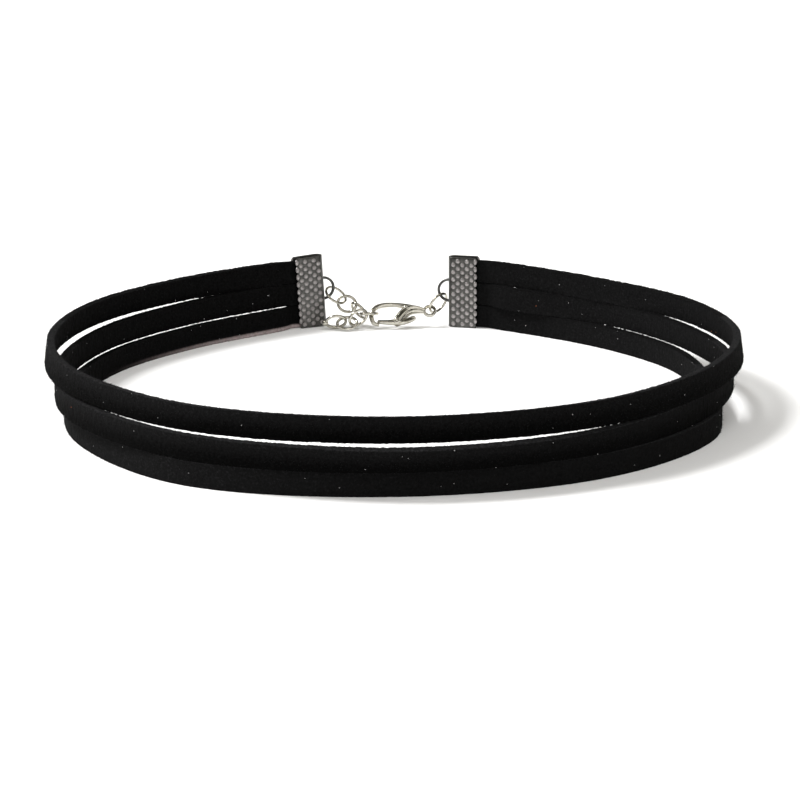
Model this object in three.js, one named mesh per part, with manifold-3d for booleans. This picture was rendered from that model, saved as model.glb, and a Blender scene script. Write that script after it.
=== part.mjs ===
// Choker necklace standing on its lower edge: three flat strips of faux suede held in two
// ribbon crimps, closed at the back by a lobster clasp and a short extension chain.
// Millimetres, +Z up, +Y towards the clasp. The origin is under the middle of the loop.

import * as THREE from 'three';
import { mergeVertices, toCreasedNormals } from 'three/addons/utils/BufferGeometryUtils.js';
import Module from 'manifold-3d';

const wasm = await Module();
wasm.setup();

// Strips
const STRIP_WIDTH = 4.2;
const STRIP_THICKNESS = 1.3;
const PINCHED_THICKNESS = 1.0;
const STRIP_GAP = 0.1;
const STRIP_CHAMFER = 0.2;
const STRIP_STEPS = 92;

// Leans of the strips in degrees at the back and at the front, positive with the top edge
// outwards. The front stretch runs from one turn to the other and fades in at both ends.
const LEAN = { bottom: [0, 0], middle: [0, 22], top: [-7, -13] };
const FRONT_TURNS = [-28, 45];
const FRONT_FADES = [30, 32];

// Reach of each strip's middle from the loop's centre, by direction. Turn 0 is the front
// and positive turns go towards +X.
const LOOP_CENTRE_Y = 8;
const LOOP = [
  { turn: -155, bottom: 51.5, middle: 52.5, top: 52.5 },
  { turn: -130, bottom: 50.0, middle: 51.5, top: 53.0 },
  { turn: -105, bottom: 53.0, middle: 54.5, top: 57.0 },
  { turn: -80, bottom: 58.0, middle: 59.5, top: 61.5 },
  { turn: -55, bottom: 65.0, middle: 66.5, top: 66.0 },
  { turn: -28, bottom: 72.0, middle: 72.0, top: 70.0 },
  { turn: 0, bottom: 70.5, middle: 72.5, top: 70.0 },
  { turn: 28, bottom: 68.5, middle: 69.0, top: 68.0 },
  { turn: 55, bottom: 63.5, middle: 63.0, top: 63.5 },
  { turn: 80, bottom: 54.5, middle: 58.0, top: 59.5 },
  { turn: 105, bottom: 51.0, middle: 52.5, top: 54.0 },
  { turn: 130, bottom: 48.5, middle: 49.5, top: 49.0 },
  { turn: 155, bottom: 49.5, middle: 48.5, top: 49.5 },
];

// Crimps: a sheet folded round the strips' ends, with its fold on the clasp's side
const CRIMP_HEIGHT = 13.5;
const CRIMP_LENGTH = 5.5;
const CRIMP_THICKNESS = 2.4;
const SHEET = 0.42;
const DOT_RADIUS = 0.4;
const DOT_RISE = 0.16;
const DOT_ROW_PITCH = 1.42;
const DOT_COLUMN_PITCH = 0.88;
const DOT_ROWS = 9;
const DOT_COLUMNS = 5;
const FIRST_DOT_COLUMN = 1.2;
const TOOTH_REACH = 0.3;
const EYE_HEIGHT = 6.9;
const EYE_HALF_HEIGHT = 2.3;
const EYE_REACH = 2.45;
const EYE_BAR = 0.5;
const EYE_THICKNESS = 0.6;
const LEFT_CRIMP = { x: -16.5, y: 57.8, yaw: 22, roll: 3.5, rise: 0.1, mouth: -1 };
const RIGHT_CRIMP = { x: 12.0, y: 57.0, yaw: -15, roll: 0, rise: 0.15, mouth: 1 };
const STRIP_END_INSIDE = 1.8;
const CLEAR_OF_MOUTH = 2.2;
const STRAIGHT_LEAD = 1.8;

// Jump rings and chain links
const RING_RADIUS = 2.1;
const RING_WIRE = 0.25;
const LINK_HALF_LENGTH = 1.85;
const LINK_HALF_WIDTH = 1.48;
const LINK_WIRE = 0.28;
const WIRE_SIDES = 6;
const LINK_SIDES = 14;
const TAIL_BALL = 0.6;

// Each link's centre, the bearing and climb of its long axis, and its roll about that axis
const LINKS = [
  { name: 'link_1', x: -9.95, y: 58, z: 4.25, bearing: -24, climb: -19, roll: 63 },
  { name: 'link_2', x: -7.65, y: 57.15, z: 3.15, bearing: 10, climb: -53, roll: -29 },
  { name: 'link_3', x: -5.8, y: 56.25, z: 2.7, bearing: 51, climb: -11, roll: -9 },
  { name: 'link_4', x: -7.8, y: 54.85, z: 2.3, bearing: 23, climb: 24, roll: 104 },
  { name: 'link_5', x: -9.9, y: 54.35, z: 1.35, bearing: 3, climb: 4, roll: 35 },
  { name: 'link_6', x: -12.0, y: 54.5, z: 1.6, bearing: 0, climb: 6, roll: -59 },
];
const RINGS = [
  { name: 'ring_left', x: -12.05, y: 58.95, z: 5.75, bearing: -3, climb: -33, roll: 20 },
  { name: 'ring_right', x: 7.35, y: 57.7, z: 4.4, bearing: 54, climb: -14, roll: -64 },
];

// Lobster clasp, drawn in its own plane: s runs to the right along it and t runs up it.
// It leans back on its lower edge.
const CLASP_Y = 54.4;
const CLASP_Z = 0.82;
const CLASP_LEAN = 45;
const CLAW_THICKNESS = 1.1;
const BELLY_THICKNESS = 2.0;
const EYELET_THICKNESS = 0.8;
const EYELET = { s: 5.7, t: 3.2, outer: 1.3, hole: 0.74 };
const PIVOT = { s: -0.5, t: 0.75 };
const HUB_RADIUS = 0.88;
const LEVER_HUB_RADIUS = 0.62;
const LEVER_THICKNESS = 0.9;
const SLOT_WIDTH = 1.2;
const PIN_RADIUS = 0.3;
const PIN_HOLE = 0.36;
const PIN_LENGTH = 2.2;

const FINISH = {
  suede: new THREE.MeshStandardMaterial({ color: 0x0c0c0d, roughness: 0.95, metalness: 0 }),
  crimp: new THREE.MeshStandardMaterial({ color: 0x8f8e8c, roughness: 0.35, metalness: 1 }),
  chain: new THREE.MeshStandardMaterial({ color: 0xc9c7c0, roughness: 0.22, metalness: 1 }),
};

const rad = THREE.MathUtils.degToRad;

// Solids and meshes

function merged(geometry) {
  const bare = geometry.clone();
  bare.deleteAttribute('normal');
  bare.deleteAttribute('uv');
  return mergeVertices(bare, 1e-4);
}

function solid(geometry) {
  const shape = merged(geometry);
  return new wasm.Manifold(new wasm.Mesh({
    numProp: 3,
    vertProperties: new Float32Array(shape.attributes.position.array),
    triVerts: new Uint32Array(shape.index.array),
  }));
}

function geometryOf(manifold) {
  const mesh = manifold.getMesh();
  const geometry = new THREE.BufferGeometry();
  geometry.setAttribute('position', new THREE.BufferAttribute(mesh.vertProperties, 3));
  geometry.setIndex(new THREE.BufferAttribute(mesh.triVerts, 1));
  return geometry;
}

function meshOf(name, geometry, material) {
  const mesh = new THREE.Mesh(toCreasedNormals(merged(geometry), rad(35)), material);
  mesh.name = name;
  return mesh;
}

// A closed skin through equal rings of points, either capped at both ends or joined in a loop
function skin(rings, loop) {
  const count = rings[0].length;
  const points = rings.flat();
  const faces = [];
  const last = loop ? rings.length : rings.length - 1;
  for (let i = 0; i < last; i += 1) {
    const next = (i + 1) % rings.length;
    for (let j = 0; j < count; j += 1) {
      const k = (j + 1) % count;
      const a = i * count + j;
      const b = i * count + k;
      const c = next * count + k;
      const d = next * count + j;
      faces.push(a, b, c, a, c, d);
    }
  }
  if (!loop) {
    const end = (rings.length - 1) * count;
    for (let j = 1; j < count - 1; j += 1) {
      faces.push(0, j + 1, j);
      faces.push(end, end + j, end + j + 1);
    }
  }
  const geometry = new THREE.BufferGeometry().setFromPoints(points);
  geometry.setIndex(faces);
  return geometry;
}

// A flat shape pushed out equally to both sides of its plane
function plate(shape, thickness, curveSegments = 6) {
  const geometry = new THREE.ExtrudeGeometry(shape, { depth: thickness, bevelEnabled: false, curveSegments });
  return geometry.translate(0, 0, -thickness / 2);
}

// Strips

function crimpPoint(crimp, along) {
  const turn = rad(crimp.yaw);
  return new THREE.Vector3(crimp.x + along * Math.cos(turn), crimp.y + along * Math.sin(turn), 0);
}

function stripPath(key) {
  const half = CRIMP_LENGTH / 2;
  const inner = half - STRIP_END_INSIDE;
  const points = [inner, 0, -half, -half - STRAIGHT_LEAD].map((along) => crimpPoint(LEFT_CRIMP, along));
  for (const row of LOOP) {
    const turn = rad(row.turn);
    const x = row[key] * Math.sin(turn);
    const y = LOOP_CENTRE_Y - row[key] * Math.cos(turn);
    points.push(new THREE.Vector3(x, y, 0));
  }
  for (const along of [half + STRAIGHT_LEAD, half, 0, -inner]) {
    points.push(crimpPoint(RIGHT_CRIMP, along));
  }
  return new THREE.CatmullRomCurve3(points, false, 'centripetal');
}

// How far a place on the strip has come out of the crimp, from 0 inside to 1 well clear
function freedom(point, crimp, fadeLength) {
  const away = crimpPoint(crimp, crimp.mouth * CRIMP_LENGTH / 2).distanceTo(point) - CLEAR_OF_MOUTH;
  const inside = (point.x - crimp.x) * crimp.mouth < CRIMP_LENGTH / 2;
  return inside ? 0 : THREE.MathUtils.smoothstep(away, 0, fadeLength);
}

// 1 along the front, fading to 0 where the front stretch ends on each side
function frontShare(point) {
  const turn = THREE.MathUtils.radToDeg(Math.atan2(point.x, LOOP_CENTRE_Y - point.y));
  const left = (turn - FRONT_TURNS[0]) / FRONT_FADES[0];
  const right = (FRONT_TURNS[1] - turn) / FRONT_FADES[1];
  return THREE.MathUtils.smoothstep(Math.min(left, right), 0, 1);
}

function strip(key, level) {
  const path = stripPath(key);
  const rings = [];
  for (let i = 0; i <= STRIP_STEPS; i += 1) {
    const at = path.getPointAt(i / STRIP_STEPS);
    const along = path.getTangentAt(i / STRIP_STEPS);
    const out = new THREE.Vector3(along.y, -along.x, 0).normalize();
    const crimp = at.x < 0 ? LEFT_CRIMP : RIGHT_CRIMP;
    const nearby = at.y > LOOP_CENTRE_Y;
    const pinch = nearby ? freedom(at, crimp, 3) : 1;
    const settle = nearby ? freedom(at, crimp, 30) : 1;
    const thickness = THREE.MathUtils.lerp(PINCHED_THICKNESS, STRIP_THICKNESS, pinch);
    const front = frontShare(at);
    const angle = rad(THREE.MathUtils.lerp(...LEAN[key], front)) * settle;
    const middle = level + STRIP_WIDTH / 2 + crimp.rise * (1 - settle);
    const a = thickness / 2;
    const b = STRIP_WIDTH / 2;
    const c = STRIP_CHAMFER;
    const section = [
      [a, c - b], [a, b - c], [a - c, b], [c - a, b],
      [-a, b - c], [-a, c - b], [c - a, -b], [a - c, -b],
    ];
    rings.push(section.map(([u, v]) => {
      const reach = u * Math.cos(angle) + v * Math.sin(angle);
      const height = v * Math.cos(angle) - u * Math.sin(angle);
      return at.clone().addScaledVector(out, reach).setZ(middle + height);
    }));
  }
  return skin(rings.reverse(), false);
}

// Crimps, drawn with the fold towards +x and the mouth towards -x, standing on z = 0

function dot(x, y, z, side) {
  const low = new THREE.CylinderGeometry(DOT_RADIUS * 0.55, DOT_RADIUS, DOT_RISE + 0.1, 7, 1);
  return low.rotateX(side * Math.PI / 2).translate(x, y + side * (DOT_RISE - 0.1) / 2, z);
}

function foldedSheet() {
  const half = CRIMP_LENGTH / 2;
  const side = CRIMP_THICKNESS / 2;
  const inner = side - SHEET;
  const plan = new THREE.Shape();
  plan.moveTo(-half, -side);
  plan.lineTo(half - side, -side);
  plan.absarc(half - side, 0, side, -Math.PI / 2, Math.PI / 2, false);
  plan.lineTo(-half, side);
  plan.lineTo(-half, inner);
  plan.lineTo(half - side, inner);
  plan.absarc(half - side, 0, inner, Math.PI / 2, -Math.PI / 2, true);
  plan.lineTo(-half, -inner);
  plan.closePath();
  return solid(new THREE.ExtrudeGeometry(plan, { depth: CRIMP_HEIGHT, bevelEnabled: false, curveSegments: 6 }));
}

function eye() {
  const half = CRIMP_LENGTH / 2;
  const shape = new THREE.Shape();
  shape.absellipse(0, 0, EYE_REACH, EYE_HALF_HEIGHT, -Math.PI / 2, Math.PI / 2, false);
  shape.closePath();
  const hole = new THREE.Path();
  hole.moveTo(0.1, -EYE_HALF_HEIGHT + EYE_BAR);
  hole.absellipse(0.1, 0, EYE_REACH - EYE_BAR - 0.1, EYE_HALF_HEIGHT - EYE_BAR, -Math.PI / 2, Math.PI / 2, false);
  hole.closePath();
  shape.holes.push(hole);
  return plate(shape, EYE_THICKNESS, 8).rotateX(Math.PI / 2).translate(half - 0.25, 0, EYE_HEIGHT);
}

function dotHeights(column) {
  const rows = [];
  const first = CRIMP_HEIGHT / 2 - (DOT_ROWS - 1) * DOT_ROW_PITCH / 2;
  const shift = column % 2 === 0 ? -DOT_ROW_PITCH / 4 : DOT_ROW_PITCH / 4;
  for (let i = 0; i < DOT_ROWS; i += 1) {
    rows.push(first + i * DOT_ROW_PITCH + shift);
  }
  return rows;
}

function crimpSolid() {
  const half = CRIMP_LENGTH / 2;
  const face = CRIMP_THICKNESS / 2;
  let body = foldedSheet();
  for (const side of [-1, 1]) {
    for (let column = 0; column < DOT_COLUMNS; column += 1) {
      const x = half - FIRST_DOT_COLUMN - column * DOT_COLUMN_PITCH;
      for (const z of dotHeights(column)) {
        body = body.add(solid(dot(x, side * face, z, side)));
      }
    }
    for (const z of dotHeights(DOT_COLUMNS)) {
      const tooth = new THREE.CylinderGeometry(0.5, 0.5, SHEET, 8).scale(TOOTH_REACH / 0.5, 1, 1);
      body = body.add(solid(tooth.translate(-half, side * (face - SHEET / 2), z)));
    }
  }
  return body.add(solid(eye()));
}

function crimp(name, place) {
  const mesh = meshOf(name, geometryOf(crimpSolid()), FINISH.crimp);
  const facing = place.mouth < 0 ? 0 : 180;
  mesh.rotation.set(0, -rad(place.roll), rad(place.yaw + facing), 'ZYX');
  const lift = CRIMP_LENGTH / 2 * Math.sin(rad(place.roll));
  mesh.position.set(place.x, place.y, lift);
  return mesh;
}

// Rings and links

function ovalWire(halfLength, halfWidth, wire, steps) {
  const rings = [];
  for (let i = 0; i < steps; i += 1) {
    const turn = 2 * Math.PI * i / steps;
    const centre = new THREE.Vector3(halfLength * Math.cos(turn), halfWidth * Math.sin(turn), 0);
    const out = new THREE.Vector3(halfWidth * Math.cos(turn), halfLength * Math.sin(turn), 0).normalize();
    const ring = [];
    for (let j = 0; j < WIRE_SIDES; j += 1) {
      const angle = 2 * Math.PI * j / WIRE_SIDES;
      const point = centre.clone().addScaledVector(out, wire * Math.cos(angle));
      ring.push(point.setZ(wire * Math.sin(angle)));
    }
    rings.push(ring);
  }
  return skin(rings.reverse(), true);
}

function placed(mesh, row) {
  mesh.rotation.set(rad(row.roll), -rad(row.climb), rad(row.bearing), 'ZYX');
  mesh.position.set(row.x, row.y, row.z);
  return mesh;
}

function link(row) {
  let geometry = ovalWire(LINK_HALF_LENGTH, LINK_HALF_WIDTH, LINK_WIRE, LINK_SIDES);
  if (row === LINKS.at(-1)) {
    const ball = new THREE.SphereGeometry(TAIL_BALL, 12, 8).translate(-LINK_HALF_LENGTH - 0.2, 0, 0);
    geometry = geometryOf(solid(geometry).add(solid(ball)));
  }
  return placed(meshOf(row.name, geometry, FINISH.chain), row);
}

function jumpRing(row) {
  return placed(meshOf(row.name, ovalWire(RING_RADIUS, RING_RADIUS, RING_WIRE, 16), FINISH.chain), row);
}

// Lobster clasp

// The claw: a hook from the belly over the top, round the left end and under the lever's tip
function clawShape() {
  const shape = new THREE.Shape();
  shape.moveTo(2.2, 4.55);
  shape.bezierCurveTo(0.6, 5.0, -1.6, 5.15, -3.2, 4.95);
  shape.bezierCurveTo(-5.1, 4.7, -5.9, 3.4, -5.8, 2.1);
  shape.bezierCurveTo(-5.7, 0.8, -5.0, -0.1, -3.6, -0.1);
  shape.lineTo(-3.6, 0.28);
  shape.lineTo(-4.5, 0.4);
  shape.bezierCurveTo(-4.9, 1.2, -5.05, 2.3, -4.75, 3.0);
  shape.bezierCurveTo(-4.1, 3.9, -2.8, 4.2, -1.4, 4.2);
  shape.bezierCurveTo(-0.4, 4.2, 0.4, 4.0, 0.9, 3.5);
  shape.lineTo(2.2, 3.3);
  shape.closePath();
  return shape;
}

// The belly: a sweep from the hub round the pivot up to the eyelet's neck
function bellyShape() {
  const shape = new THREE.Shape();
  shape.moveTo(PIVOT.s - HUB_RADIUS, PIVOT.t);
  shape.absarc(PIVOT.s, PIVOT.t, HUB_RADIUS, Math.PI, 1.85 * Math.PI, false);
  shape.bezierCurveTo(0.9, 1.3, 1.6, 2.5, 3.1, 2.65);
  shape.lineTo(4.5, 2.55);
  shape.lineTo(4.7, 3.75);
  shape.bezierCurveTo(3.8, 4.2, 3.0, 4.5, 2.1, 4.58);
  shape.bezierCurveTo(0.8, 4.5, -0.6, 2.9, PIVOT.s - HUB_RADIUS, PIVOT.t + 0.35);
  shape.closePath();
  return shape;
}

function eyeletShape() {
  const shape = new THREE.Shape();
  shape.absarc(EYELET.s, EYELET.t, EYELET.outer, 0, 2 * Math.PI, false);
  const hole = new THREE.Path();
  hole.absarc(EYELET.s, EYELET.t, EYELET.hole, 0, 2 * Math.PI, true);
  shape.holes.push(hole);
  return shape;
}

function eyeletHole() {
  const shape = new THREE.Shape();
  shape.absarc(EYELET.s, EYELET.t, EYELET.hole, 0, 2 * Math.PI, false);
  return shape;
}

function roundShape(radius) {
  const shape = new THREE.Shape();
  shape.absarc(PIVOT.s, PIVOT.t, radius, 0, 2 * Math.PI, false);
  return shape;
}

// The slot that the lever's hub and thumb tab lie in
function slotShape() {
  const shape = new THREE.Shape();
  shape.moveTo(-2.2, -0.6);
  shape.lineTo(4.2, -0.6);
  shape.lineTo(4.2, 2.2);
  shape.lineTo(1.8, 2.2);
  shape.lineTo(PIVOT.s + 0.6, PIVOT.t + 0.85);
  shape.lineTo(PIVOT.s - 0.5, PIVOT.t + 0.85);
  shape.lineTo(-2.2, PIVOT.t + 0.85);
  shape.closePath();
  return shape;
}

function claspBody() {
  const hole = solid(plate(eyeletHole(), 3, 8));
  const claw = solid(plate(clawShape(), CLAW_THICKNESS, 7));
  const belly = solid(plate(bellyShape(), BELLY_THICKNESS, 8));
  const eyelet = solid(plate(eyeletShape(), EYELET_THICKNESS, 8));
  const slot = solid(plate(slotShape(), SLOT_WIDTH));
  const bore = solid(plate(roundShape(PIN_HOLE), 3, 6));
  return geometryOf(claw.add(belly).subtract(hole).add(eyelet).subtract(slot).subtract(bore));
}

// The lever: a gate that closes the claw from inside, a hub on the pin and a thumb tab
function leverShape() {
  const shape = new THREE.Shape();
  shape.moveTo(PIVOT.s, PIVOT.t + LEVER_HUB_RADIUS);
  shape.bezierCurveTo(-1.6, 1.35, -2.8, 0.95, -4.3, 1.15);
  shape.lineTo(-4.25, 0.52);
  shape.bezierCurveTo(-3.0, 0.25, -2.0, 0.15, PIVOT.s - 0.2, PIVOT.t - LEVER_HUB_RADIUS);
  shape.bezierCurveTo(0.4, -0.1, 1.8, 0.3, 3.0, 1.2);
  shape.bezierCurveTo(3.6, 1.7, 3.4, 2.15, 2.8, 2.05);
  shape.bezierCurveTo(1.9, 1.9, 1.0, 1.5, 0.5, 1.0);
  shape.bezierCurveTo(0.2, 1.2, -0.1, PIVOT.t + LEVER_HUB_RADIUS, PIVOT.s, PIVOT.t + LEVER_HUB_RADIUS);
  return shape;
}

function claspLever() {
  const arm = solid(plate(leverShape(), LEVER_THICKNESS, 6));
  const bore = solid(plate(roundShape(PIN_HOLE), 3, 6));
  return geometryOf(arm.subtract(bore));
}

function claspPin() {
  const pin = new THREE.CylinderGeometry(PIN_RADIUS, PIN_RADIUS, PIN_LENGTH, 12);
  return pin.rotateX(Math.PI / 2).translate(PIVOT.s, PIVOT.t, 0);
}

function clasp() {
  const group = new THREE.Group();
  group.add(meshOf('clasp_body', claspBody(), FINISH.chain));
  group.add(meshOf('clasp_lever', claspLever(), FINISH.chain));
  group.add(meshOf('clasp_pin', claspPin(), FINISH.chain));
  group.rotation.x = rad(90 - CLASP_LEAN);
  group.position.set(0, CLASP_Y, CLASP_Z);
  return group;
}

// The whole necklace, moved so that the origin is under the middle of its box
function necklace() {
  const whole = new THREE.Group();
  const step = STRIP_WIDTH + STRIP_GAP;
  whole.add(meshOf('strip_bottom', strip('bottom', 0), FINISH.suede));
  whole.add(meshOf('strip_middle', strip('middle', step), FINISH.suede));
  whole.add(meshOf('strip_top', strip('top', 2 * step), FINISH.suede));
  whole.add(crimp('crimp_left', LEFT_CRIMP), crimp('crimp_right', RIGHT_CRIMP));
  for (const row of RINGS) {
    whole.add(jumpRing(row));
  }
  for (const row of LINKS) {
    whole.add(link(row));
  }
  whole.add(clasp());
  whole.updateMatrixWorld(true);
  const box = new THREE.Box3().setFromObject(whole, true);
  const middle = box.getCenter(new THREE.Vector3());
  whole.position.set(-middle.x, -middle.y, 0);
  return whole;
}

export default necklace();
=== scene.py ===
"""A choker necklace standing on a white floor: three black faux-suede strips, two dotted
ribbon crimps, and a lobster clasp with a short chain at the back."""

import math
import random

import bmesh
import bpy
import numpy as np
from mathutils import Euler, Matrix, Vector, noise


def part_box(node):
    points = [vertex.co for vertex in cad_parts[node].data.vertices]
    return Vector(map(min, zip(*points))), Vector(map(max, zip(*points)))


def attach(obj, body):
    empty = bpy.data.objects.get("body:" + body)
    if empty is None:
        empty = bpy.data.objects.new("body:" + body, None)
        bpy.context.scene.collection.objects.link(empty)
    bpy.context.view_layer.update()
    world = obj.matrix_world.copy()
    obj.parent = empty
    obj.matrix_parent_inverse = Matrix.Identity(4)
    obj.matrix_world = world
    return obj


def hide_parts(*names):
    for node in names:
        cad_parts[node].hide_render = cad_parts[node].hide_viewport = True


MM = 0.001

# Strips, in millimetres, as the solids have them
STRIP_WIDTH = 4.2
STRIP_THICKNESS = 1.3
PINCHED_THICKNESS = 1.0
STRIP_GAP = 0.1
LOOP_CENTRE_Y = 8
LOOP_TURNS = (-155, -130, -105, -80, -55, -28, 0, 28, 55, 80, 105, 130, 155)
LOOP_REACH = {
    "bottom": (51.5, 50, 53, 58, 65, 72, 70.5, 68.5, 63.5, 54.5, 51, 48.5, 49.5),
    "middle": (52.5, 51.5, 54.5, 59.5, 66.5, 72, 72.5, 69, 63, 58, 52.5, 49.5, 48.5),
    "top": (52.5, 53, 57, 61.5, 66, 70, 70, 68, 63.5, 59.5, 54, 49, 49.5),
}
STRIP_STEPS = 1500
CORNER_RADIUS = 0.14
NAP_DEPTH = 0.05
EDGE_NAP = 0.06
FIBRES = 26000
FIBRE_WIDTH = 0.07
FIBRES_LEFT_OFF_FACES = 0.7
LINT_FLECKS = 110
ORANGE_FLECK_EVERY = 13

# The pale pinkish-grey band along the bottom strip's lower inner edge: how high it reaches,
# the place in x where it ends, where it is at full strength and the run over which it fades in
PALE_BAND_HEIGHT = 0.7
PALE_BAND_END = -15
PALE_BAND_FULL = -24
PALE_BAND_RUN = 30

# Leans of the strips in degrees at the back and at the front, positive with the top edge
# outwards, and the turns between which the front stretch lies and over which it fades in
LEAN = {"bottom": (0, 0), "middle": (0, 22), "top": (-7, -13)}
FRONT_TURNS = (-28, 45)
FRONT_FADES = (30, 32)

# Crimps, with the mouth's teeth as (radius, rise, share of the radius along the strip)
CRIMP_HEIGHT = 13.5
CRIMP_LENGTH = 5.5
CRIMP_THICKNESS = 2.4
SHEET = 0.42
DOT_RADIUS = 0.42
DOT_RISE = 0.17
DOT_ROW_PITCH = 1.42
DOT_COLUMN_PITCH = 0.88
DOT_ROWS = 9
DOT_COLUMNS = 5
FIRST_DOT_COLUMN = 1.2
TOOTH_INSET = 0.06
TOOTH = (0.55, 0.2, 0.65)
EYE_HEIGHT = 6.9
EYE_HALF_HEIGHT = 2.3
EYE_REACH = 2.45
EYE_BAR = 0.5
EYE_THICKNESS = 0.6
CRIMPS = {
    "left": {"x": -16.5, "y": 57.8, "yaw": 22, "roll": 3.5, "rise": 0.1, "mouth": -1},
    "right": {"x": 12.0, "y": 57.0, "yaw": -15, "roll": 0, "rise": 0.15, "mouth": 1},
}
STRIP_END_INSIDE = 1.8
CLEAR_OF_MOUTH = 2.2
STRAIGHT_LEAD = 1.8
PINCH_FADE = 3
SETTLE_FADE = 30

# Rings and links: centre, then bearing, climb and roll of the long axis in degrees
RING_RADIUS = 2.1
RING_WIRE = 0.25
LINK_HALF_LENGTH = 1.85
LINK_HALF_WIDTH = 1.48
LINK_WIRE = 0.28
TAIL_BALL = 0.6
RINGS = {
    "ring_left": (-12.05, 58.95, 5.75, -3, -33, 20),
    "ring_right": (7.35, 57.7, 4.4, 54, -14, -64),
}
LINKS = {
    "link_1": (-9.95, 58.0, 4.25, -24, -19, 63),
    "link_2": (-7.65, 57.15, 3.15, 10, -53, -29),
    "link_3": (-5.8, 56.25, 2.7, 51, -11, -9),
    "link_4": (-7.8, 54.85, 2.3, 23, 24, 104),
    "link_5": (-9.9, 54.35, 1.35, 3, 4, 35),
    "link_6": (-12.0, 54.5, 1.6, 0, 6, -59),
}

# Clasp, drawn in its own leaning plane
CLASP_Y = 54.4
CLASP_Z = 0.82
CLASP_LEAN = 45
PIVOT = (-0.5, 0.75)
EYELET = (5.7, 3.2)
EYELET_RADIUS = 1.02
EYELET_WIRE = (0.28, 0.4)
SLOT_WIDTH = 1.2
PIN_RADIUS = 0.3
PIN_HALF_LENGTH = 1.1
CAST_VOXEL = 0.055

# Each row is a place on the middle line, then half the width and half the thickness there
CLAW = (
    (2.3, 3.9, 0.62, 0.55),
    (0.9, 4.28, 0.5, 0.55),
    (-0.2, 4.5, 0.42, 0.52),
    (-1.6, 4.6, 0.41, 0.52),
    (-3.1, 4.48, 0.45, 0.54),
    (-4.5, 3.92, 0.46, 0.55),
    (-5.25, 2.7, 0.47, 0.55),
    (-5.25, 1.4, 0.44, 0.55),
    (-4.85, 0.55, 0.36, 0.52),
    (-4.0, 0.1, 0.2, 0.45),
)
BELLY = (
    (-0.62, 0.62, 0.72, 0.86),
    (-0.5, 0.78, 0.88, 0.98),
    (0.05, 1.62, 0.9, 1.0),
    (0.78, 2.58, 0.94, 1.0),
    (1.7, 3.3, 0.95, 0.95),
    (3.0, 3.52, 0.78, 0.78),
    (4.1, 3.35, 0.6, 0.6),
    (4.7, 3.22, 0.5, 0.48),
)
LEVER = (
    (-4.0, 0.84, 0.3, 0.4),
    (-3.2, 0.76, 0.37, 0.44),
    (-2.0, 0.7, 0.46, 0.45),
    (-0.5, 0.75, 0.6, 0.45),
    (0.5, 0.72, 0.5, 0.45),
    (1.4, 1.0, 0.52, 0.45),
    (2.3, 1.42, 0.52, 0.45),
    (2.75, 1.62, 0.44, 0.42),
)
SLOT_OUTLINE = (
    (-2.2, -0.6),
    (4.2, -0.6),
    (4.2, 2.2),
    (1.8, 2.2),
    (0.1, 1.6),
    (-1.0, 1.6),
    (-2.2, 1.6),
)

# Camera: how far it stands from the loop, its angle above the floor, its lens and its roll
CAMERA_DISTANCE = 660
CAMERA_ELEVATION = 14.12
CAMERA_LENS = 169.83
CAMERA_ROLL = -0.31

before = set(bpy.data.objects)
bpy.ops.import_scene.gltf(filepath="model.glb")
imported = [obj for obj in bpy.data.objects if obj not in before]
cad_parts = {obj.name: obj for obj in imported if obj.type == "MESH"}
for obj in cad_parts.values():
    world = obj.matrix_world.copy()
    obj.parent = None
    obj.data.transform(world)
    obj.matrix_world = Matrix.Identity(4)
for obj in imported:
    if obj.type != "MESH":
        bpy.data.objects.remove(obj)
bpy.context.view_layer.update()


def clasp_matrix():
    """From the clasp's own plane (along, up, out) to the drawing's frame"""
    turn = Matrix.Rotation(math.radians(90 - CLASP_LEAN), 4, "X")
    return Matrix.Translation((0, CLASP_Y, CLASP_Z)) @ turn


def drawing_shift():
    """Where the solids' frame puts the drawing's origin, read off the clasp's pin"""
    low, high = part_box("clasp_pin")
    drawn = clasp_matrix() @ Vector((*PIVOT, 0))
    found = (low + high) / 2 / MM
    return Vector((found.x - drawn.x, found.y - drawn.y, 0))


SHIFT = drawing_shift()


# Meshes

def piece(name, verts, faces, materials, body="necklace", matrix=None, replaces=()):
    """A smooth closed mesh, from millimetres in the drawing's frame to metres in the frame"""
    mesh = bpy.data.meshes.new(name)
    place = matrix or Matrix.Identity(4)
    mesh.from_pydata([((place @ Vector(v)) + SHIFT) * MM for v in verts], [], faces)
    work = bmesh.new()
    work.from_mesh(mesh)
    bmesh.ops.recalc_face_normals(work, faces=work.faces)
    work.to_mesh(mesh)
    work.free()
    mesh.shade_smooth()
    for material in materials:
        mesh.materials.append(material)
    obj = bpy.data.objects.new(name, mesh)
    bpy.context.scene.collection.objects.link(obj)
    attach(obj, body)
    if replaces:
        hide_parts(*replaces)
    return obj


def skin(rings, loop=False):
    """Vertices and faces of a closed skin through equal rings of points"""
    count = len(rings[0])
    verts = [point for ring in rings for point in ring]
    faces = []
    for i in range(len(rings) if loop else len(rings) - 1):
        a = i * count
        b = (i + 1) % len(rings) * count
        for j in range(count):
            k = (j + 1) % count
            faces.append((a + j, a + k, b + k, b + j))
    if not loop:
        faces.append(tuple(range(count)))
        faces.append(tuple(range(len(verts) - count, len(verts))))
    return verts, faces


def joined(parts):
    """Several (verts, faces) pairs as one, with the number of faces in each part"""
    verts = []
    faces = []
    counts = []
    for part_verts, part_faces in parts:
        start = len(verts)
        verts.extend(part_verts)
        faces.extend(tuple(start + i for i in face) for face in part_faces)
        counts.append(len(part_faces))
    return verts, faces, counts


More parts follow.
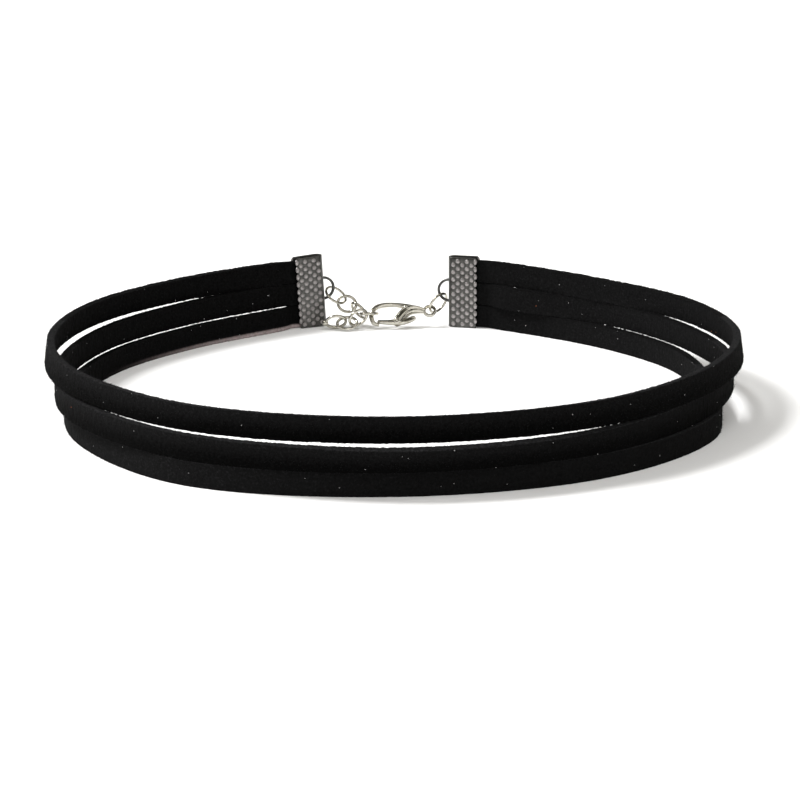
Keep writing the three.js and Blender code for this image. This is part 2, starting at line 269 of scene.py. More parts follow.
def smooth_curve(points, samples):
    """Places along a centripetal Catmull-Rom curve through the points"""
    p = np.array(points, float)
    p = np.vstack([2 * p[0] - p[1], p, 2 * p[-1] - p[-2]])
    u = np.linspace(0, 1, samples, endpoint=False)[:, None]
    found = []
    for i in range(1, len(p) - 2):
        before, here, there, after = p[i - 1:i + 3]
        d0 = math.sqrt(np.linalg.norm(here - before))
        d1 = math.sqrt(np.linalg.norm(there - here))
        d2 = math.sqrt(np.linalg.norm(after - there))
        start = d1 * ((here - before) / d0 - (there - before) / (d0 + d1) + (there - here) / d1)
        end = d1 * ((there - here) / d1 - (after - here) / (d1 + d2) + (after - there) / d2)
        square = -3 * here + 3 * there - 2 * start - end
        cube = 2 * here - 2 * there + start + end
        found.append(here + start * u + square * u ** 2 + cube * u ** 3)
    return np.vstack([*found, p[-2]])


def evenly(points, steps):
    """The same line cut into equal steps of its length"""
    gaps = np.linalg.norm(np.diff(points, axis=0), axis=1)
    reach = np.concatenate([[0], np.cumsum(gaps)])
    at = np.linspace(0, reach[-1], steps + 1)
    return np.stack([np.interp(at, reach, points[:, i]) for i in range(points.shape[1])], axis=1)


# Materials

def new_material(name):
    material = bpy.data.materials.new(name)
    material.use_nodes = True
    shader = material.node_tree.nodes["Principled BSDF"]
    return material, shader, material.node_tree


def noise_node(tree, scale, detail=3.0, roughness=0.5, stretch=None):
    """Noise over the object's own metres, stretched along its axes where asked"""
    node = tree.nodes.new("ShaderNodeTexNoise")
    node.inputs["Scale"].default_value = scale
    node.inputs["Detail"].default_value = detail
    node.inputs["Roughness"].default_value = roughness
    where = tree.nodes.new("ShaderNodeTexCoord")
    link = where.outputs["Object"]
    if stretch:
        mapping = tree.nodes.new("ShaderNodeMapping")
        mapping.inputs["Scale"].default_value = stretch
        tree.links.new(link, mapping.inputs["Vector"])
        link = mapping.outputs["Vector"]
    tree.links.new(link, node.inputs["Vector"])
    return node


def ramp_node(tree, source, stops):
    """Colours along a value, from (place, colour) stops"""
    ramp = tree.nodes.new("ShaderNodeValToRGB")
    band = ramp.color_ramp
    for index, (place, colour) in enumerate(stops):
        stop = band.elements[index] if index < 2 else band.elements.new(place)
        stop.position = place
        stop.color = (*colour, 1)
    tree.links.new(source, ramp.inputs["Fac"])
    return ramp


def add_bump(tree, shader, source, strength, depth):
    bump = tree.nodes.new("ShaderNodeBump")
    bump.inputs["Strength"].default_value = strength
    bump.inputs["Distance"].default_value = depth
    tree.links.new(source, bump.inputs["Height"])
    tree.links.new(bump.outputs["Normal"], shader.inputs["Normal"])


def varied_roughness(tree, shader, source, low, high):
    spread = tree.nodes.new("ShaderNodeMapRange")
    spread.inputs["To Min"].default_value = low
    spread.inputs["To Max"].default_value = high
    tree.links.new(source, spread.inputs["Value"])
    tree.links.new(spread.outputs["Result"], shader.inputs["Roughness"])


def suede_material():
    """Black nap with a faint grey grain, painted light and shade from the tone attribute, and the
    pale pinkish-grey band where its attribute says so
    """
    material, shader, tree = new_material("faux_suede")
    grain = noise_node(tree, 2600, 5, 0.7)
    # The tone attribute carries painted light and shade: painted highlights on the top faces and upper
    # edges, painted shade towards the right
    tone = tree.nodes.new("ShaderNodeAttribute")
    tone.attribute_name = "tone"
    spread = tree.nodes.new("ShaderNodeMath")
    spread.operation = "MULTIPLY_ADD"
    spread.inputs[1].default_value = 1.1
    spread.inputs[2].default_value = -0.55
    tree.links.new(grain.outputs["Fac"], spread.inputs[0])
    # Painted light and shade from the tone attribute, spread by the grain
    painted_light_by_grain = tree.nodes.new("ShaderNodeMath")
    tree.links.new(tone.outputs["Fac"], painted_light_by_grain.inputs[0])
    tree.links.new(spread.outputs["Value"], painted_light_by_grain.inputs[1])
    black = ramp_node(tree, painted_light_by_grain.outputs["Value"], (
        (0.05, (0.0008, 0.0008, 0.0008)),
        (0.5, (0.0062, 0.0062, 0.0064)),
        (0.95, (0.034, 0.034, 0.036)),
    ))
    pale_band = tree.nodes.new("ShaderNodeAttribute")
    pale_band.attribute_name = "pale_band"
    band_colour = ramp_node(tree, grain.outputs["Fac"], (
        (0.3, (0.2, 0.16, 0.16)),
        (0.7, (0.4, 0.34, 0.335)),
    ))
    mix = tree.nodes.new("ShaderNodeMix")
    mix.data_type = "RGBA"
    tree.links.new(pale_band.outputs["Fac"], mix.inputs["Factor"])
    tree.links.new(black.outputs["Color"], mix.inputs[6])
    tree.links.new(band_colour.outputs["Color"], mix.inputs[7])
    tree.links.new(mix.outputs[2], shader.inputs["Base Color"])
    varied_roughness(tree, shader, grain.outputs["Fac"], 0.86, 1.0)
    shader.inputs["Specular IOR Level"].default_value = 0.04
    fine = noise_node(tree, 7000, 4, 0.65)
    add_bump(tree, shader, fine.outputs["Fac"], 0.6, 0.00006)
    return material


def fibre_material():
    material, shader, tree = new_material("nap_fibre")
    tone = noise_node(tree, 1500, 2)
    shade = ramp_node(tree, tone.outputs["Fac"], (
        (0.35, (0.006, 0.006, 0.0062)),
        (0.7, (0.024, 0.024, 0.025)),
    ))
    tree.links.new(shade.outputs["Color"], shader.inputs["Base Color"])
    varied_roughness(tree, shader, tone.outputs["Fac"], 0.85, 1.0)
    shader.inputs["Specular IOR Level"].default_value = 0.1
    return material


def lint_material(name, low, high):
    material, shader, tree = new_material(name)
    tone = noise_node(tree, 9000, 2)
    shade = ramp_node(tree, tone.outputs["Fac"], ((0.3, low), (0.7, high)))
    tree.links.new(shade.outputs["Color"], shader.inputs["Base Color"])
    varied_roughness(tree, shader, tone.outputs["Fac"], 0.7, 0.9)
    return material


def metal_material(name, dark, light, rough, grain_scale, bump_depth):
    """Plated metal with a mottled tone, uneven polish and a fine skin"""
    material, shader, tree = new_material(name)
    mottle = noise_node(tree, grain_scale, 4, 0.6)
    tone = ramp_node(tree, mottle.outputs["Fac"], ((0.3, dark), (0.72, light)))
    tree.links.new(tone.outputs["Color"], shader.inputs["Base Color"])
    shader.inputs["Metallic"].default_value = 1.0
    varied_roughness(tree, shader, mottle.outputs["Fac"], *rough)
    skin_noise = noise_node(tree, grain_scale * 3.2, 3, 0.5)
    add_bump(tree, shader, skin_noise.outputs["Fac"], 0.35, bump_depth)
    return material


SUEDE = suede_material()
FIBRE = fibre_material()
WHITE_LINT = lint_material("white_lint", (0.35, 0.35, 0.36), (0.8, 0.8, 0.8))
ORANGE_LINT = lint_material("orange_lint", (0.5, 0.12, 0.03), (0.8, 0.3, 0.1))
STAMPED = metal_material(
    "stamped_steel", (0.05, 0.05, 0.047), (0.13, 0.128, 0.122), (0.28, 0.42), 1400, 0.00003,
)
DOTS = metal_material(
    "raised_dots", (0.22, 0.206, 0.206), (0.42, 0.395, 0.39), (0.3, 0.45), 1900, 0.00002,
)
SILVER = metal_material(
    "silver_plate", (0.34, 0.32, 0.26), (0.66, 0.64, 0.58), (0.08, 0.2), 900, 0.00001,
)


# Strips

def crimp_point(place, along):
    turn = math.radians(place["yaw"])
    return (place["x"] + along * math.cos(turn), place["y"] + along * math.sin(turn))


def strip_path(key):
    """The strip's middle line, cut into equal steps, and the direction along it"""
    half = CRIMP_LENGTH / 2
    inner = half - STRIP_END_INSIDE
    left_end = (inner, 0, -half, -half - STRAIGHT_LEAD)
    right_end = (half + STRAIGHT_LEAD, half, 0, -inner)
    points = [crimp_point(CRIMPS["left"], along) for along in left_end]
    for turn, reach in zip(LOOP_TURNS, LOOP_REACH[key]):
        angle = math.radians(turn)
        points.append((reach * math.sin(angle), LOOP_CENTRE_Y - reach * math.cos(angle)))
    points.extend(crimp_point(CRIMPS["right"], along) for along in right_end)
    path = evenly(smooth_curve(points, 60), STRIP_STEPS)
    along = np.gradient(path, axis=0)
    return path, along / np.linalg.norm(along, axis=1)[:, None]


def smoothstep(value):
    clipped = min(max(value, 0), 1)
    return clipped * clipped * (3 - 2 * clipped)


def freedom(point, place, fade):
    """How far a place on the strip is out of the crimp, from 0 inside to 1 well clear"""
    if (point[0] - place["x"]) * place["mouth"] < CRIMP_LENGTH / 2:
        return 0
    mouth = crimp_point(place, place["mouth"] * CRIMP_LENGTH / 2)
    away = math.dist(mouth, point) - CLEAR_OF_MOUTH
    return smoothstep(away / fade)


def front_share(point):
    """1 along the front, fading to 0 where the front stretch ends on each side"""
    turn = math.degrees(math.atan2(point[0], LOOP_CENTRE_Y - point[1]))
    left = (turn - FRONT_TURNS[0]) / FRONT_FADES[0]
    right = (FRONT_TURNS[1] - turn) / FRONT_FADES[1]
    return smoothstep(min(left, right))


def strip_section():
    """Round-cornered outline of a strip, in rows of the corner's side across and up, the
    outward normal, and how far along the flat towards the next corner the place is"""
    places = []
    side_steps = 11
    arc_steps = 4
    corners = ((1, 1, 0), (-1, 1, 90), (-1, -1, 180), (1, -1, 270))
    for sx, sz, start in corners:
        for i in range(arc_steps + 1):
            angle = math.radians(start + 90 * i / arc_steps)
            places.append((sx, sz, math.cos(angle), math.sin(angle), 0))
        if (sx, sz) in ((-1, 1), (1, -1)):
            for i in range(1, side_steps):
                places.append((sx, sz, -1 if sx < 0 else 1, 0, i / side_steps))
        else:
            for i in range(1, 4):
                places.append((sx, sz, 0, sz, i / 4))
    return places


def section_point(place, half_thickness, half_width):
    """Across, up, and the normal in the section's plane"""
    sx, sz, nx, nz, along = place
    a = half_thickness - CORNER_RADIUS
    b = half_width - CORNER_RADIUS
    across = sx * a + nx * CORNER_RADIUS
    up = sz * b + nz * CORNER_RADIUS
    if along and nz == 0:
        up -= sz * 2 * b * along
    elif along:
        across -= sx * 2 * a * along
    return across, up, nx, nz


def strip_surface(key, level):
    """Rings of (point, normal, across, up, freedom from the crimp) along the strip"""
    path, along = strip_path(key)
    section = strip_section()
    rings = []
    for at, way in zip(path, along):
        place = CRIMPS["left"] if at[0] < 0 else CRIMPS["right"]
        nearby = at[1] > LOOP_CENTRE_Y
        pinch = freedom(at, place, PINCH_FADE) if nearby else 1
        settle = freedom(at, place, SETTLE_FADE) if nearby else 1
        thickness = PINCHED_THICKNESS + (STRIP_THICKNESS - PINCHED_THICKNESS) * pinch
        front = front_share(at)
        back_lean, front_lean = LEAN[key]
        angle = math.radians(back_lean + (front_lean - back_lean) * front) * settle
        middle = level + STRIP_WIDTH / 2 + place["rise"] * (1 - settle)
        out = Vector((way[1], -way[0], 0))
        ring = []
        for spot in section:
            across, up, nx, nz = section_point(spot, thickness / 2, STRIP_WIDTH / 2)
            reach = across * math.cos(angle) + up * math.sin(angle)
            height = up * math.cos(angle) - across * math.sin(angle)
            facing = out * (nx * math.cos(angle) + nz * math.sin(angle))
            facing.z = nz * math.cos(angle) - nx * math.sin(angle)
            point = Vector((at[0], at[1], middle + height)) + out * reach
            ring.append((point, facing, across, up, pinch))
        rings.append(ring)
    return rings


def nap_height(point):
    """The uneven height of the nap at a place, in millimetres"""
    fine = noise.noise(point * 2.6)
    tufts = noise.noise(point * 1.2 + Vector((7, 3, 1)))
    return NAP_DEPTH * (2.2 * fine + 0.9 * tufts - 0.2)


def add_fibres(key, rings, seed):
    """Short hairs standing out of the nap, thickest along the strip's edges"""
    rng = random.Random(seed)
    verts = []
    faces = []
    for _ in range(FIBRES):
        ring = rings[rng.randrange(12, len(rings) - 12)]
        spot = ring[rng.randrange(len(ring))]
        point, facing, pinch = spot[0], spot[1], spot[4]
        if pinch < 0.5 or (abs(facing.z) < 0.1 and rng.random() < FIBRES_LEFT_OFF_FACES):
            continue
        wander = Vector((rng.uniform(-1, 1), rng.uniform(-1, 1), rng.uniform(-1, 1)))
        lie = (facing + 0.75 * wander).normalized()
        side = lie.cross(wander).normalized() * FIBRE_WIDTH / 2
        other = lie.cross(side)
        length = rng.uniform(0.1, 0.28) if rng.random() < 0.9 else rng.uniform(0.28, 0.48)
        root = point + wander * 0.15 * (abs(facing.z) < 0.5) - facing * 0.03
        if root.z < 0.1 or point.z + lie.z * length < 0.03:
            continue
        start = len(verts)
        verts.append(root + side)
        verts.append(root - side * 0.5 + other * 0.87)
        verts.append(root - side * 0.5 - other * 0.87)
        verts.append(root + lie * length)
        for a, b, c in ((0, 1, 2), (0, 3, 1), (1, 3, 2), (2, 3, 0)):
            faces.append((start + a, start + b, start + c))
    return piece("nap_" + key, verts, faces, [FIBRE])


def add_lint(key, rings, seed):
    """A few stray flecks caught in the nap of the outer and inner faces"""
    rng = random.Random(seed)
    parts = []
    colours = []
    for index in range(LINT_FLECKS):
        ring = rings[rng.randrange(30, len(rings) - 30)]
        spot = ring[rng.randrange(len(ring))]
        point, facing = spot[0], spot[1]
        if abs(facing.z) > 0.4 or spot[4] < 1:
            continue
        wander = Vector((rng.uniform(-1, 1), rng.uniform(-1, 1), rng.uniform(-1, 1)))
        lie = wander.cross(facing).normalized()
        across = facing.cross(lie).normalized()
        length = rng.uniform(0.05, 0.12)
        width = rng.uniform(0.04, 0.07)
        centre = point + facing * 0.05
        fleck = []
        for turn in range(6):
            angle = math.radians(60 * turn)
            fleck.append(centre + lie * length * math.cos(angle) + across * width * math.sin(angle))
        top = centre + facing * 0.035
        bottom = centre - facing * 0.035
        faces = []
        for turn in range(6):
            faces.append((turn, (turn + 1) % 6, 6))
            faces.append(((turn + 1) % 6, turn, 7))
        parts.append((fleck + [top, bottom], faces))
        colours.append(1 if index % ORANGE_FLECK_EVERY == 5 else 0)
    verts, faces, counts = joined(parts)
    obj = piece("lint_" + key, verts, faces, [WHITE_LINT, ORANGE_LINT])
    face = 0
    for count, colour in zip(counts, colours):
        for _ in range(count):
            obj.data.polygons[face].material_index = colour
            face += 1


def pale_band_share(point, across, up):
    """The share of the pale pinkish-grey band on the lower inner edge inside the loop's left rear"""
    if across > -0.2 or point.y < LOOP_CENTRE_Y + 4 or point.x > PALE_BAND_END:
        return 0
    height = up + STRIP_WIDTH / 2 + 0.04 * noise.noise(point * 1.1)
    fade_in = smoothstep((PALE_BAND_FULL - point.x) / -PALE_BAND_RUN + 1)
    return fade_in * smoothstep((PALE_BAND_HEIGHT - height) / 0.12)


def painted_nap_light(key, point, across, up, nz):
    """Painted light and shade on the nap, from 0 for the darkest to 1 for the lightest: a painted
    highlight on the top faces, strongest at the front; the outer faces of the top and middle
    strips painted lighter towards their upper edge and the bottom strip painted lighter all
    over; the outer faces painted darker towards the right, away from the light, and the inner
    faces painted lighter there, where they face it
    """
    rightward = smoothstep(point.x / 80 + 0.5)
    if nz > 0.3:
        return 0.56 if point.y < LOOP_CENTRE_Y else 0.26
    if across < 0:
        return 0.2 + 0.22 * rightward
    if key == "bottom":
        return 0.45 - 0.13 * rightward
    height = up / STRIP_WIDTH + 0.5
    return (0.04 + 0.36 * smoothstep((height - 0.1) / 0.85)) * (1.15 - 0.35 * rightward)


def build_strip(key, level, seed):
    surface = strip_surface(key, level)
    rings = []
    pale_band = []
    painted_light_levels = []
    for ring in surface:
        moved = []
        for point, facing, across, up, pinch in ring:
            lift = (nap_height(point) + EDGE_NAP * abs(facing.z)) * pinch
            grown = point + facing * lift
            grown.z = max(grown.z, min(point.z, 0.02))
            moved.append(grown)
            pale_band.append(pale_band_share(point, across, up) if key == "bottom" else 0)
            # Painted light and shade for the nap, kept in the tone attribute
            painted_light_levels.append(painted_nap_light(key, point, across, up, facing.z))
        rings.append(moved)
    verts, faces = skin(rings)
    obj = piece("suede_" + key, verts, faces, [SUEDE], replaces=["strip_" + key])
    for layer_name, values in (("pale_band", pale_band), ("tone", painted_light_levels)):
        layer = obj.data.attributes.new(layer_name, "FLOAT", "POINT")
        layer.data.foreach_set("value", values)
    add_fibres(key, surface, seed)
    add_lint(key, surface, seed + 50)


# Crimps, drawn with the fold towards +x and the mouth towards -x, standing on z = 0

def crimp_plan():
    """The folded sheet's outline, seen from above, with softened edges at the mouth"""
    half = CRIMP_LENGTH / 2
    side = CRIMP_THICKNESS / 2
    inner = side - SHEET
    lip = SHEET / 2
    steps = 20
    plan = []
    for i in range(steps + 1):
        angle = math.radians(-90 + 180 * i / steps)
        plan.append((half - side + side * math.cos(angle), side * math.sin(angle)))
    for i in range(7):
        angle = math.radians(90 + 180 * i / 6)
        plan.append((-half + lip + lip * math.cos(angle), side - lip + lip * math.sin(angle)))
    for i in range(steps + 1):
        angle = math.radians(90 - 180 * i / steps)
        plan.append((half - side + inner * math.cos(angle), inner * math.sin(angle)))
    for i in range(7):
        angle = math.radians(90 + 180 * i / 6)
        plan.append((-half + lip + lip * math.cos(angle), -side + lip + lip * math.sin(angle)))
    return plan


def folded_sheet():
    """Levels of the outline from bottom to top, drawn in a little at both rims"""
    plan = crimp_plan()
    rim = 0.1
    levels = [(0, rim * 0.6), (rim * 0.3, rim * 0.2), (rim, 0)]
    steps = 26
    for i in range(1, steps):
        levels.append((rim + (CRIMP_HEIGHT - 2 * rim) * i / steps, 0))
    levels.append((CRIMP_HEIGHT - rim, 0))
    levels.append((CRIMP_HEIGHT - rim * 0.3, rim * 0.2))
    levels.append((CRIMP_HEIGHT, rim * 0.6))
    middle = sheet_middle(plan)
    rings = []
    for z, draw in levels:
        ring = []
        for (x, y), (mx, my) in zip(plan, middle):
            away = math.hypot(mx - x, my - y)
            share = draw / away
            ring.append(Vector((x + (mx - x) * share, y + (my - y) * share, z)))
        rings.append(ring)
    return skin(rings)


def sheet_middle(plan):
    """The nearest place on the sheet's middle surface to each outline point"""
    half = CRIMP_LENGTH / 2
    side = CRIMP_THICKNESS / 2
    middle = side - SHEET / 2
    centre = half - side
    places = []
    for x, y in plan:
        if x > centre:
            reach = math.hypot(x - centre, y)
            places.append((centre + (x - centre) * middle / reach, y * middle / reach))
        else:
            places.append((max(x, -half + SHEET / 2), math.copysign(middle, y)))
    return places


def dome(x, y, z, side, radius=DOT_RADIUS, rise=DOT_RISE, narrow=1.0):
    """A raised dot with a flattened top on a face of the crimp"""
    rings = []
    for i in range(5):
        angle = math.radians(78 * i / 4)
        reach = radius * math.cos(angle) ** 0.6
        height = -0.04 + (rise + 0.04) * math.sin(angle) ** 0.8
        ring = []
        for j in range(14):
            turn = 2 * math.pi * j / 14
            across = reach * narrow * math.cos(turn)
            ring.append(Vector((x + across, y + side * height, z + reach * math.sin(turn))))
        rings.append(ring)
    return skin(rings)


def dot_heights(column):
    first = CRIMP_HEIGHT / 2 - (DOT_ROWS - 1) * DOT_ROW_PITCH / 2
    shift = -DOT_ROW_PITCH / 4 if column % 2 == 0 else DOT_ROW_PITCH / 4
    return [first + i * DOT_ROW_PITCH + shift for i in range(DOT_ROWS)]


def crimp_eye():
    """The D-shaped loop of sheet that stands out of the fold"""
    rings = []
    steps = 40
    middle_reach = EYE_REACH - EYE_BAR / 2
    middle_height = EYE_HALF_HEIGHT - EYE_BAR / 2
    for i in range(steps + 1):
        turn = math.radians(-96 + 192 * i / steps)
        centre = Vector((middle_reach * math.cos(turn), 0, middle_height * math.sin(turn)))
        out = Vector((middle_height * math.cos(turn), 0, middle_reach * math.sin(turn))).normalized()
        ring = []
        for j in range(16):
            angle = 2 * math.pi * j / 16
            wide = EYE_BAR / 2 * squared(math.cos(angle))
            thick = EYE_THICKNESS / 2 * squared(math.sin(angle))
            point = centre + out * wide + Vector((0, thick, 0))
            ring.append(point + Vector((CRIMP_LENGTH / 2 - 0.25, 0, EYE_HEIGHT)))
        rings.append(ring)
    return skin(rings)


def squared(value, power=0.6):
    """Pushes a circle's sine or cosine out towards a square with round corners"""
    return math.copysign(abs(value) ** power, value)


def build_crimp(name, place):
    half = CRIMP_LENGTH / 2
    face = CRIMP_THICKNESS / 2
    plain = [folded_sheet(), crimp_eye()]
    dots = []
    for side in (-1, 1):
        for column in range(DOT_COLUMNS):
            x = half - FIRST_DOT_COLUMN - column * DOT_COLUMN_PITCH
            dots.extend(dome(x, side * face, z, side) for z in dot_heights(column))
        for z in dot_heights(DOT_COLUMNS):
            dots.append(dome(-half + TOOTH_INSET, side * (face - TOOTH_INSET), z, side, *TOOTH))
    verts, faces, counts = joined(plain + dots)
    facing = 0 if place["mouth"] < 0 else 180
    turn = Euler((0, -math.radians(place["roll"]), math.radians(place["yaw"] + facing)), "XYZ")
    lift = half * math.sin(math.radians(place["roll"]))
    matrix = Matrix.Translation((place["x"], place["y"], lift)) @ turn.to_matrix().to_4x4()
    obj = piece(
        "crimp_metal_" + name, verts, faces, [STAMPED, DOTS],
        matrix=matrix, replaces=["crimp_" + name],
    )
    sheet_faces = sum(counts[:2])
    for polygon in obj.data.polygons[sheet_faces:]:
        polygon.material_index = 1


# Rings and links

def oval_wire(half_length, half_width, wire, steps=72, sides=18):
    rings = []
    for i in range(steps):
        turn = 2 * math.pi * i / steps
        centre = Vector((half_length * math.cos(turn), half_width * math.sin(turn), 0))
        out = Vector((half_width * math.cos(turn), half_length * math.sin(turn), 0)).normalized()
        ring = []
        for j in range(sides):
            angle = 2 * math.pi * j / sides
            ring.append(centre + out * wire * math.cos(angle) + Vector((0, 0, wire * math.sin(angle))))
        rings.append(ring)
    return skin(rings, loop=True)


def ball(centre, radius):
    rings = []
    for i in range(1, 20):
        angle = math.radians(-90 + 9 * i)
        ring = []
        for j in range(28):
            turn = 2 * math.pi * j / 28
            spread = radius * math.cos(angle)
            sideways = Vector((0, spread * math.cos(turn), spread * math.sin(turn)))
            ring.append(centre + Vector((radius * math.sin(angle), 0, 0)) + sideways)
        rings.append(ring)
    return skin(rings)


def wire_matrix(row):
    x, y, z, bearing, climb, roll = row
    turn = Euler((math.radians(roll), -math.radians(climb), math.radians(bearing)), "XYZ")
    return Matrix.Translation((x, y, z)) @ turn.to_matrix().to_4x4()


def build_chain():
    for name, row in RINGS.items():
        verts, faces = oval_wire(RING_RADIUS, RING_RADIUS, RING_WIRE)
        piece(
            "jump_" + name, verts, faces, [SILVER],
            matrix=wire_matrix(row), replaces=[name],
        )
    for name, row in LINKS.items():
        parts = [oval_wire(LINK_HALF_LENGTH, LINK_HALF_WIDTH, LINK_WIRE)]
        if name == "link_6":
            parts.append(ball(Vector((-LINK_HALF_LENGTH - 0.2, 0, 0)), TAIL_BALL))
        verts, faces, _ = joined(parts)
        piece(
            "chain_" + name, verts, faces, [SILVER],
            matrix=wire_matrix(row), replaces=[name],
        )


# Lobster clasp, in its own plane: x along it, y up it, z out of it

def swept(rows, flatness=1.0, sides=32, samples=12):
    """A cast bar along a middle line, with its half width and half thickness, and round ends"""
    line = smooth_curve(rows, samples)
    along = np.gradient(line[:, :2], axis=0)
    along = along / np.linalg.norm(along, axis=1)[:, None]
    stations = [(row, way, 0, 1) for row, way in zip(line, along)]
    cap_steps = 6
    start_cap = []
    end_cap = []
    for i in range(1, cap_steps):
        angle = math.radians(90 * i / cap_steps)
        start_cap.insert(0, (line[0], along[0], -math.sin(angle), math.cos(angle)))
        end_cap.append((line[-1], along[-1], math.sin(angle), math.cos(angle)))
    rings = []
    for row, way, beyond, share in start_cap + stations + end_cap:
        s, t, wide, thick = row
        centre = Vector((s + way[0] * beyond * wide * 0.8, t + way[1] * beyond * wide * 0.8, 0))
        across = Vector((-way[1], way[0], 0))
        ring = []
        for j in range(sides):
            angle = 2 * math.pi * j / sides
            u = wide * share * squared(math.cos(angle), flatness)
            v = thick * share * squared(math.sin(angle), flatness)
            ring.append(centre + across * u + Vector((0, 0, v)))
        rings.append(ring)
    return skin(rings)


def scratch_object(name, verts, faces):
    """A helper solid in millimetres, which is removed once it has been used"""
    mesh = bpy.data.meshes.new(name)
    mesh.from_pydata([tuple(v) for v in verts], [], faces)
    work = bmesh.new()
    work.from_mesh(mesh)
    bmesh.ops.recalc_face_normals(work, faces=work.faces)
    work.to_mesh(mesh)
    work.free()
    obj = bpy.data.objects.new(name, mesh)
    bpy.context.scene.collection.objects.link(obj)
    return obj


def applied(obj):
    """The object's mesh with its modifiers applied, as (verts, faces)"""
    evaluated = obj.evaluated_get(bpy.context.evaluated_depsgraph_get())
    mesh = evaluated.to_mesh()
    verts = [v.co.copy() for v in mesh.vertices]
    faces = [tuple(p.vertices) for p in mesh.polygons]
    evaluated.to_mesh_clear()
    return verts, faces


def prism(outline, half_depth):
    rings = []
    for z in (-half_depth, half_depth):
        rings.append([Vector((x, y, z)) for x, y in outline])
    return skin(rings)


def circle(centre, radius, steps=32):
    turns = [2 * math.pi * i / steps for i in range(steps)]
    return [(centre[0] + radius * math.cos(a), centre[1] + radius * math.sin(a)) for a in turns]


def cut(solid, cutters):
    """The solid less the cutters, as (verts, faces)"""
    body = scratch_object("cut_body", *solid)
    tools = []
    for index, cutter in enumerate(cutters):
        tool = scratch_object("cutter_%d" % index, *cutter)
        step = body.modifiers.new("cut_%d" % index, "BOOLEAN")
        step.operation = "DIFFERENCE"
        step.solver = "EXACT"
        step.object = tool
        tools.append(tool)
    bpy.context.view_layer.update()
    result = applied(body)
    for obj in [body, *tools]:
        bpy.data.objects.remove(obj)
    return result


def cast(parts, voxel, smoothing):
    """Several closed solids run together into one, with softened edges, as (verts, faces)"""
    verts, faces, _ = joined(parts)
    body = scratch_object("cast_body", verts, faces)
    remesh = body.modifiers.new("fuse", "REMESH")
    remesh.mode = "VOXEL"
    remesh.voxel_size = voxel
    soften = body.modifiers.new("soften", "SMOOTH")
    soften.factor = 0.5
    soften.iterations = smoothing
    bpy.context.view_layer.update()
    result = applied(body)
    bpy.data.objects.remove(body)
    return result


def eyelet():
    rings = []
    for i in range(64):
        turn = 2 * math.pi * i / 64
        out = Vector((math.cos(turn), math.sin(turn), 0))
        centre = Vector((*EYELET, 0)) + out * EYELET_RADIUS
        ring = []
        for j in range(18):
            angle = 2 * math.pi * j / 18
            thick = Vector((0, 0, EYELET_WIRE[1] * squared(math.sin(angle), 0.8)))
            ring.append(centre + out * EYELET_WIRE[0] * squared(math.cos(angle), 0.8) + thick)
        rings.append(ring)
    return skin(rings, loop=True)


def build_clasp():
    matrix = clasp_matrix()
    slot = prism(SLOT_OUTLINE, SLOT_WIDTH / 2)
    bore = prism(circle(PIVOT, PIN_RADIUS + 0.03), 3)
    hole = prism(circle(EYELET, EYELET_RADIUS - EYELET_WIRE[0]), 3)
    claw = cut(swept(CLAW, 0.85), [slot])
    belly = cut(swept(BELLY, 0.8), [slot, bore, hole])
    verts, faces = cast([claw, belly, eyelet()], CAST_VOXEL, 5)
    piece("lobster_body", verts, faces, [SILVER], matrix=matrix, replaces=["clasp_body"])
    arm = cut(swept(LEVER, 0.75), [bore])
    verts, faces = cast([arm], CAST_VOXEL, 3)
    piece(
        "lobster_lever", verts, faces, [SILVER],
        body="lever", matrix=matrix, replaces=["clasp_lever"],
    )
    rivet = []
    for z, share in ((-1, 0.55), (-0.95, 0.85), (-0.86, 1), (0.86, 1), (0.95, 0.85), (1, 0.55)):
        rivet.append([Vector((x, y, z * PIN_HALF_LENGTH)) for x, y in circle(PIVOT, PIN_RADIUS * share)])
    verts, faces = skin(rivet)
    piece("lobster_rivet", verts, faces, [SILVER], matrix=matrix, replaces=["clasp_pin"])


# Stage

def build_floor():
    size = 3.0
    mesh = bpy.data.meshes.new("floor")
    corners = [(-size, -size, 0), (size, -size, 0), (size, size, 0), (-size, size, 0)]
    mesh.from_pydata(corners, [], [(0, 1, 2, 3)])
    material, shader, tree = new_material("white_paper")
    tone = noise_node(tree, 40, 2)
    white = ramp_node(tree, tone.outputs["Fac"], ((0.3, (0.9, 0.9, 0.9)), (0.7, (0.92, 0.92, 0.92))))
    tree.links.new(white.outputs["Color"], shader.inputs["Base Color"])
    shader.inputs["Roughness"].default_value = 0.7
    shader.inputs["Specular IOR Level"].default_value = 0.2
    mesh.materials.append(material)
    floor = bpy.data.objects.new("floor", mesh)
    bpy.context.scene.collection.objects.link(floor)


def area_light(name, place, aim, size, power, reflected=True):
    data = bpy.data.lights.new(name, "AREA")
    data.shape = "RECTANGLE"
    data.size, data.size_y = size
    data.energy = power
    light = bpy.data.objects.new(name, data)
    light.location = place
    light.rotation_euler = (Vector(aim) - Vector(place)).to_track_quat("-Z", "Y").to_euler()
    light.visible_glossy = reflected
    bpy.context.scene.collection.objects.link(light)


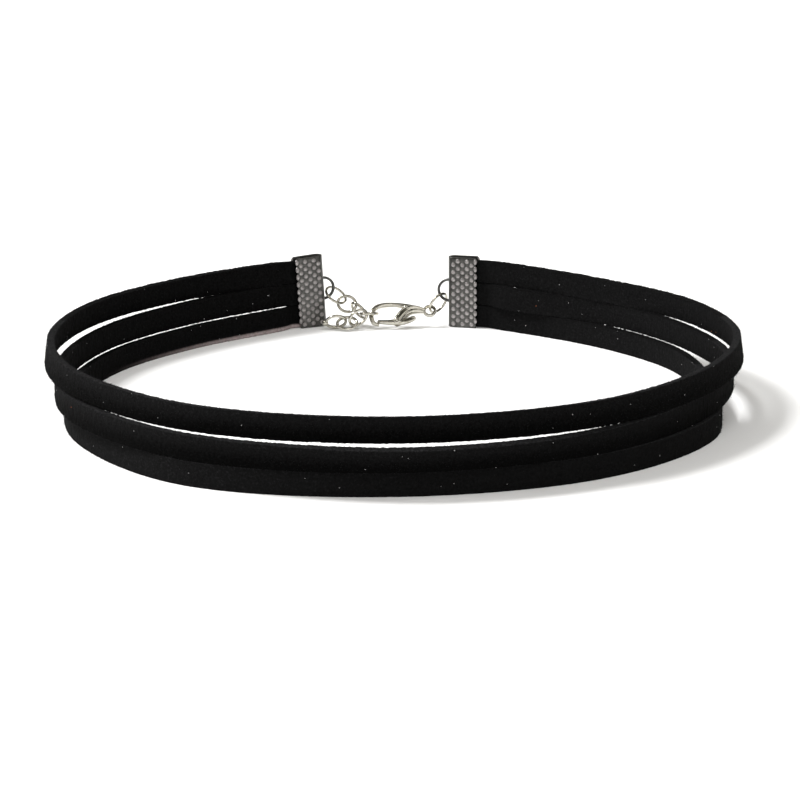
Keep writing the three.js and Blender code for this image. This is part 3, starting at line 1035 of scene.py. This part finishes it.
def build_world():
    """A studio room of soft bright panels and dim corners, white where the camera looks"""
    world = bpy.data.worlds.new("studio")
    world.use_nodes = True
    tree = world.node_tree
    background = tree.nodes["Background"]
    where = tree.nodes.new("ShaderNodeTexCoord")
    panels = tree.nodes.new("ShaderNodeTexNoise")
    panels.inputs["Scale"].default_value = 2.6
    panels.inputs["Detail"].default_value = 1.0
    tree.links.new(where.outputs["Generated"], panels.inputs["Vector"])
    room = ramp_node(tree, panels.outputs["Fac"], (
        (0.43, (0.03, 0.03, 0.022)),
        (0.5, (0.18, 0.17, 0.14)),
        (0.58, (1.5, 1.47, 1.42)),
    ))
    seen = tree.nodes.new("ShaderNodeLightPath")
    mix = tree.nodes.new("ShaderNodeMix")
    mix.data_type = "RGBA"
    mix.inputs[7].default_value = (1, 1, 1, 1)
    tree.links.new(seen.outputs["Is Camera Ray"], mix.inputs["Factor"])
    tree.links.new(room.outputs["Color"], mix.inputs[6])
    tree.links.new(mix.outputs[2], background.inputs["Color"])
    background.inputs["Strength"].default_value = 1.0
    bpy.context.scene.world = world


def build_lights():
    area_light("key", (-1.0, 0.24, 1.3), (0, 0, 0), (0.55, 0.55), 36)
    area_light("front", (0.1, -0.9, 1.5), (0, 0, 0), (1.0, 0.6), 9, reflected=False)


def build_camera():
    data = bpy.data.cameras.new("camera")
    data.sensor_width = 36
    data.lens = CAMERA_LENS
    data.clip_start = 0.01
    data.clip_end = 50
    camera = bpy.data.objects.new("camera", data)
    elevation = math.radians(CAMERA_ELEVATION)
    back = Vector((0, -math.cos(elevation), math.sin(elevation)))
    camera.location = (back * CAMERA_DISTANCE + SHIFT) * MM
    look = (-back).to_track_quat("-Z", "Y").to_matrix().to_4x4()
    roll = Matrix.Rotation(math.radians(CAMERA_ROLL), 4, "Z")
    camera.matrix_world = Matrix.Translation(camera.location) @ look @ roll
    bpy.context.scene.collection.objects.link(camera)
    bpy.context.scene.camera = camera
    bpy.context.scene.view_settings.view_transform = "Standard"


build_camera()
build_world()
build_lights()
build_floor()
LEVEL_STEP = STRIP_WIDTH + STRIP_GAP
build_strip("bottom", 0, 11)
build_strip("middle", LEVEL_STEP, 12)
build_strip("top", 2 * LEVEL_STEP, 13)
for side_name, crimp_place in CRIMPS.items():
    build_crimp(side_name, crimp_place)
build_chain()
build_clasp()
